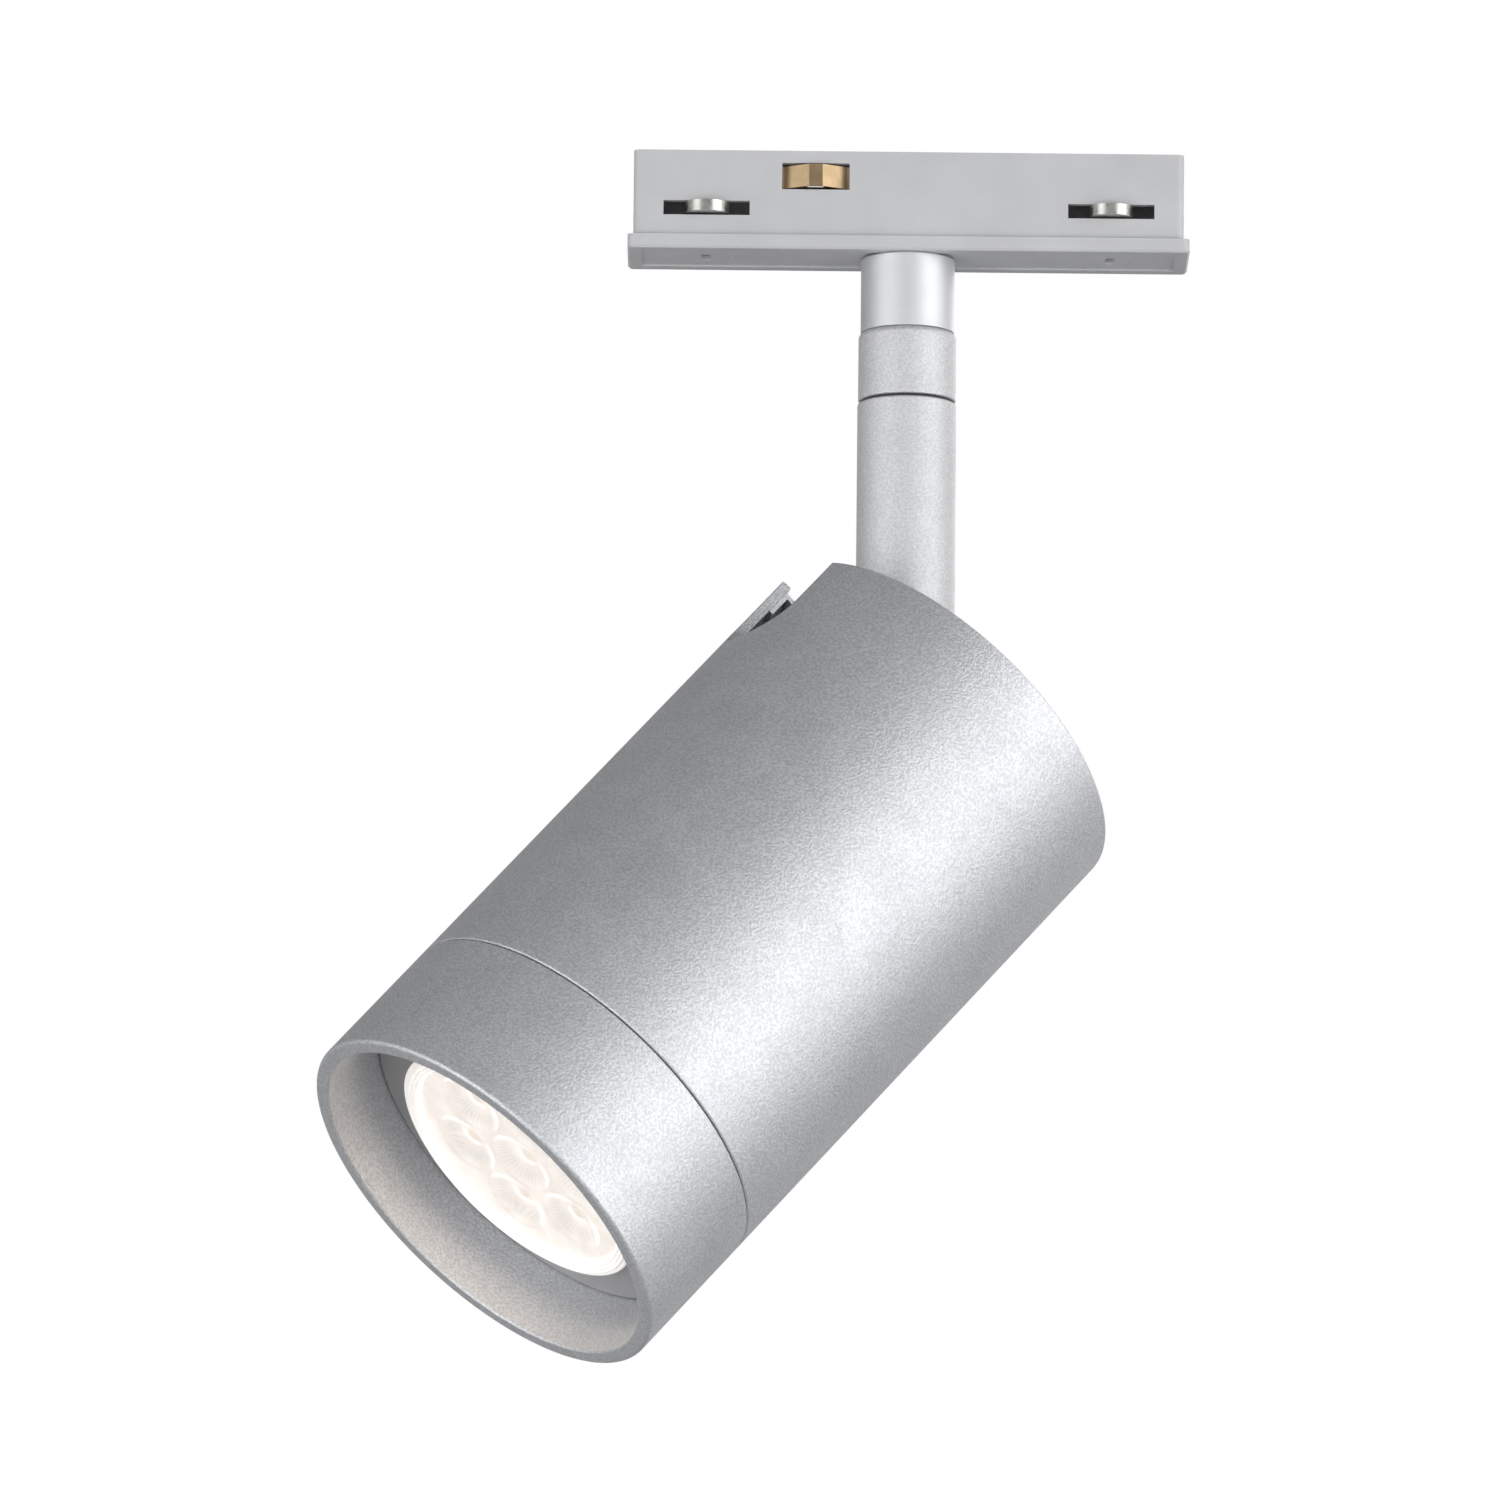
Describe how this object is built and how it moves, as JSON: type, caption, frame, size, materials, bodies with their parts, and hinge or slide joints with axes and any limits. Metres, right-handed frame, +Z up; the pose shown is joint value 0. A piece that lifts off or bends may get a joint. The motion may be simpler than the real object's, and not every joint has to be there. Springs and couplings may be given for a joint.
{
  "type": "track spotlight",
  "caption": "Cylindrical spotlight head on a swivelling, tilting stem under a slim adapter that locks into a slotted lighting track.",
  "frame": {"origin": "centre of the adapter's top face, on the stem's axis, where the adapter seats against the roof of the track's slot", "axes": "+Z up, along the stem's axis out of the adapter's top; X along the track; -Y towards the viewer; the head hangs below, aimed down and towards -X"},
  "size_m": [0.1519, 0.1097, 0.2194],
  "materials": {
    "adapter_grey": "satin",
    "silver_coat": "matte",
    "anodised": "satin",
    "baffle_grey": "satin",
    "zinc_steel": "satin",
    "black_nylon": "matte",
    "contact_bronze": "satin",
    "terminal_white": "matte",
    "lead_silicone": "matte",
    "holder_ceramic": "matte",
    "lamp_clear": "gloss",
    "lamp_rim_clear": "gloss",
    "lamp_white": "satin",
    "led_phosphor": "gloss",
    "heatsink_metal": "satin",
    "pin_steel": "gloss"
  },
  "bodies": {
    "adapter": {"adapter_base": "adapter_grey", "adapter_housing": "adapter_grey", "line_contact": "contact_bronze", "neutral_contact": "contact_bronze", "earth_contact": "contact_bronze", "terminal_block": "terminal_white", "terminal_screws": "zinc_steel", "supply_leads": "lead_silicone", "stem_sleeve": "anodised", "stem_nut": "zinc_steel", "swivel_collar": "silver_coat", "stop_pin": "zinc_steel"},
    "lock_left": {"lock_knob_left": "adapter_grey", "lock_tongue_left": "zinc_steel"},
    "lock_right": {"lock_knob_right": "adapter_grey", "lock_tongue_right": "zinc_steel"},
    "arm": {"swivel_stud": "zinc_steel", "stop_washer": "zinc_steel", "spring_washer": "zinc_steel", "swivel_nut": "zinc_steel", "swivel_washer": "black_nylon", "tube_plug": "anodised", "stem_tube": "silver_coat", "tilt_knuckle": "zinc_steel", "knuckle_pin": "zinc_steel", "stem_leads": "lead_silicone"},
    "head": {"head_housing": "silver_coat", "rear_cap": "silver_coat", "pivot_bracket": "zinc_steel", "tilt_washers": "black_nylon", "pivot_bolt": "zinc_steel", "pivot_nut": "zinc_steel", "bracket_screws": "zinc_steel", "lamp_holder": "holder_ceramic", "holder_screws": "zinc_steel", "head_leads": "lead_silicone"},
    "ring": {"front_ring": "silver_coat", "ring_springs": "zinc_steel", "glare_baffle": "baffle_grey"},
    "lamp": {"lamp_body": "lamp_rim_clear", "lamp_lens": "lamp_clear", "lamp_optics": "lamp_clear", "lamp_leds": "led_phosphor", "lamp_board": "lamp_white", "lamp_heatsink": "heatsink_metal", "lamp_base": "lamp_white", "lamp_pins": "pin_steel"}
  },
  "joints": [
    {"name": "pan", "type": "hinge", "parent": "adapter", "child": "arm", "pos_m": [0, 0, -0.0443], "axis": [0, 0, 1], "range_deg": [-168, 168]},
    {"name": "tilt", "type": "hinge", "parent": "arm", "child": "head", "pos_m": [0, 0, -0.1086], "axis": [-0.4412, 0.8974, 0], "range_deg": [-43.56, 46.44]},
    {"name": "ring_pull", "type": "slide", "parent": "head", "child": "ring", "axis": [-0.6184, -0.304, -0.7247], "range_m": [0, 0.03]},
    {"name": "lamp_twist", "type": "hinge", "parent": "head", "child": "lamp", "pos_m": [-0.03803, -0.0187, -0.15317], "axis": [-0.6184, -0.304, -0.7247], "range_deg": [0, 25]},
    {"name": "lock_left_turn", "type": "hinge", "parent": "adapter", "child": "lock_left", "pos_m": [-0.036, 0, -0.018], "axis": [0, 0, 1], "range_deg": [0, 90]},
    {"name": "lock_right_turn", "type": "hinge", "parent": "adapter", "child": "lock_right", "pos_m": [0.036, 0, -0.018], "axis": [0, 0, 1], "range_deg": [0, 90]}
  ]
}
